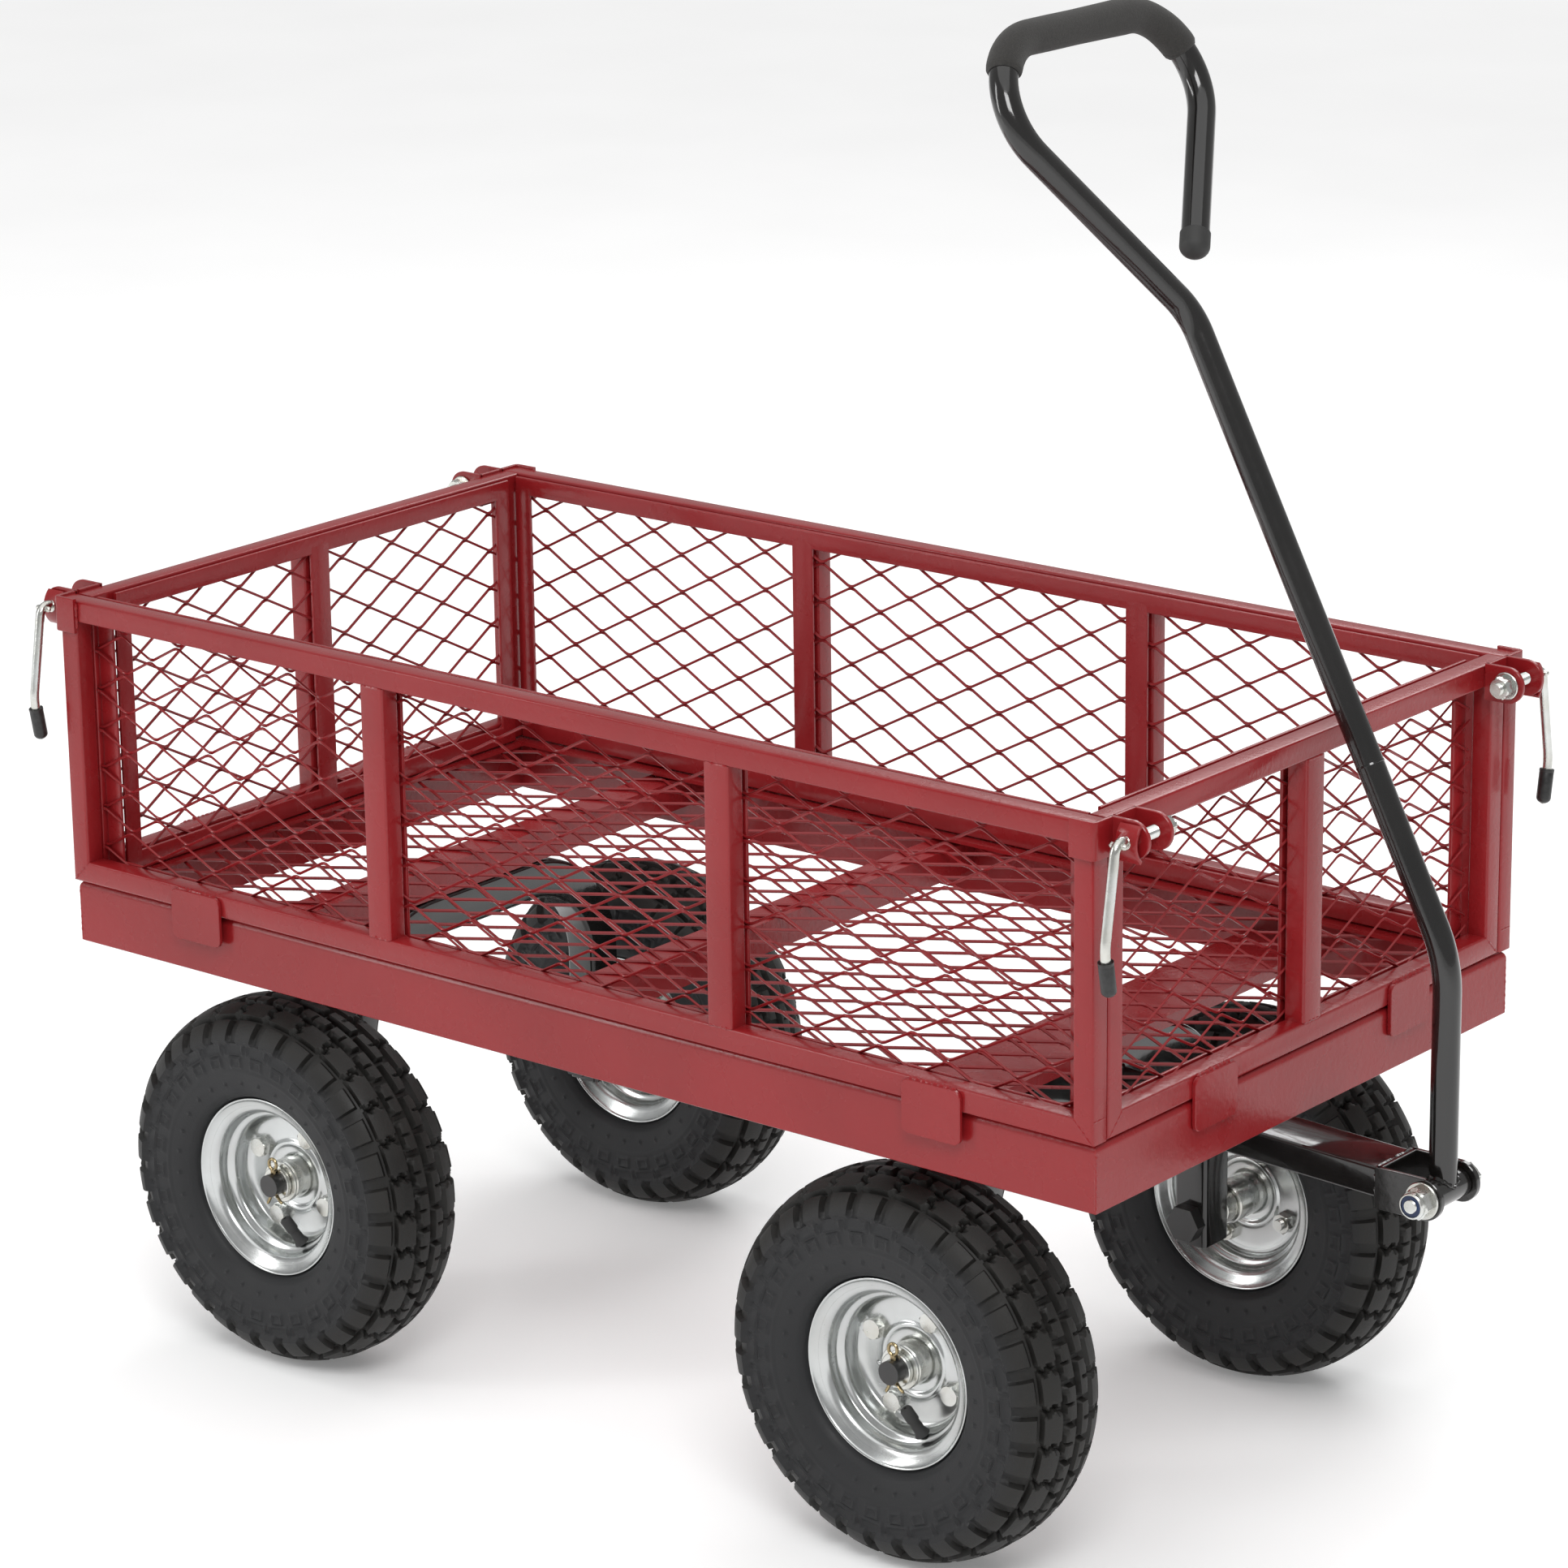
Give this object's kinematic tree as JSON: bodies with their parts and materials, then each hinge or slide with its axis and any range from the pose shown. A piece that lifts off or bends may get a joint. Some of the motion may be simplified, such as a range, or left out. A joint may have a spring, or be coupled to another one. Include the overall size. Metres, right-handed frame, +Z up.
{
  "type": "garden wagon",
  "caption": "Steel mesh-sided garden wagon with pneumatic tyres, a swivelling front axle, a lift-off rack with corner latches and a leaning pull handle.",
  "frame": {"origin": "on the ground under the middle of the whole wagon's length and width", "axes": "+X forwards towards the tongue and handle, +Y to the wagon's left, +Z up"},
  "size_m": [1.0054, 0.4974, 0.9553],
  "materials": {
    "red_paint": "gloss",
    "red_mesh": "gloss",
    "black_paint": "gloss",
    "black_steel": "satin",
    "zinc_steel": "satin",
    "tyre_rubber": "matte",
    "black_rubber": "matte",
    "grip_foam": "matte",
    "black_vinyl": "satin"
  },
  "bodies": {
    "chassis": {"deck_frame": "red_paint", "bed_mesh": "red_mesh", "cross_members": "red_paint", "front_bolster": "red_paint", "rear_axle_bracket": "black_paint", "rear_axles": "black_steel", "rear_axle_washers": "zinc_steel", "kingpin": "black_steel", "thrust_washer": "zinc_steel"},
    "steering": {"front_axle_bracket": "black_paint", "front_axles": "black_steel", "front_axle_washers": "zinc_steel", "tongue": "black_paint", "clevis": "black_paint", "clevis_bolt": "zinc_steel"},
    "handle": {"handle_sleeve": "black_paint", "handle_lower_tube": "black_paint", "handle_upper_tube": "black_paint", "handle_grip": "grip_foam", "handle_end_cap": "black_rubber"},
    "rack": {"right_side_frame": "red_paint", "right_side_mesh": "red_mesh", "left_side_frame": "red_paint", "left_side_mesh": "red_mesh", "rear_end_frame": "red_paint", "rear_end_mesh": "red_mesh", "front_end_frame": "red_paint", "front_end_mesh": "red_mesh", "hanging_tabs": "red_paint", "corner_ears": "red_paint", "clamp_bolts": "zinc_steel", "clamp_saddles": "red_paint"},
    "rear_right_wheel": {"rear_right_tyre": "tyre_rubber", "rear_right_rim": "zinc_steel", "rear_right_hub": "zinc_steel", "rear_right_rim_bolts": "zinc_steel", "rear_right_valve": "black_rubber"},
    "rear_left_wheel": {"rear_left_tyre": "tyre_rubber", "rear_left_rim": "zinc_steel", "rear_left_hub": "zinc_steel", "rear_left_rim_bolts": "zinc_steel", "rear_left_valve": "black_rubber"},
    "front_right_wheel": {"front_right_tyre": "tyre_rubber", "front_right_rim": "zinc_steel", "front_right_hub": "zinc_steel", "front_right_rim_bolts": "zinc_steel", "front_right_valve": "black_rubber"},
    "front_left_wheel": {"front_left_tyre": "tyre_rubber", "front_left_rim": "zinc_steel", "front_left_hub": "zinc_steel", "front_left_rim_bolts": "zinc_steel", "front_left_valve": "black_rubber"},
    "rear_right_latch": {"rear_right_lever": "zinc_steel", "rear_right_lever_tip": "black_vinyl"},
    "rear_left_latch": {"rear_left_lever": "zinc_steel", "rear_left_lever_tip": "black_vinyl"},
    "front_right_latch": {"front_right_lever": "zinc_steel", "front_right_lever_tip": "black_vinyl"},
    "front_left_latch": {"front_left_lever": "zinc_steel", "front_left_lever_tip": "black_vinyl"}
  },
  "joints": [
    {"name": "steer", "type": "hinge", "parent": "chassis", "child": "steering", "pos_m": [0.22075, 0, 0.286], "axis": [0, 0, 1], "range_deg": [-22, 22]},
    {"name": "handle_pivot", "type": "hinge", "parent": "steering", "child": "handle", "pos_m": [0.48925, 0, 0.2485], "axis": [0, 1, 0], "range_deg": [0, 128]},
    {"name": "rack_lift", "type": "slide", "parent": "chassis", "child": "rack", "axis": [0, 0, 1], "range_m": [0, 0.04]},
    {"name": "rear_right_spin", "type": "hinge", "parent": "chassis", "child": "rear_right_wheel", "pos_m": [-0.31725, -0.188, 0.129], "axis": [0, 1, 0], "continuous": true},
    {"name": "rear_left_spin", "type": "hinge", "parent": "chassis", "child": "rear_left_wheel", "pos_m": [-0.31725, 0.188, 0.129], "axis": [0, 1, 0], "continuous": true},
    {"name": "front_right_spin", "type": "hinge", "parent": "steering", "child": "front_right_wheel", "pos_m": [0.22075, -0.188, 0.129], "axis": [0, 1, 0], "continuous": true},
    {"name": "front_left_spin", "type": "hinge", "parent": "steering", "child": "front_left_wheel", "pos_m": [0.22075, 0.188, 0.129], "axis": [0, 1, 0], "continuous": true},
    {"name": "rear_right_latch_flip", "type": "hinge", "parent": "rack", "child": "rear_right_latch", "pos_m": [-0.49075, -0.232, 0.5145], "axis": [-1, 0, 0], "range_deg": [0, 100]},
    {"name": "rear_left_latch_flip", "type": "hinge", "parent": "rack", "child": "rear_left_latch", "pos_m": [-0.49075, 0.232, 0.5145], "axis": [1, 0, 0], "range_deg": [0, 100]},
    {"name": "front_right_latch_flip", "type": "hinge", "parent": "rack", "child": "front_right_latch", "pos_m": [0.40825, -0.232, 0.5145], "axis": [-1, 0, 0], "range_deg": [0, 100]},
    {"name": "front_left_latch_flip", "type": "hinge", "parent": "rack", "child": "front_left_latch", "pos_m": [0.40825, 0.232, 0.5145], "axis": [1, 0, 0], "range_deg": [0, 100]}
  ]
}
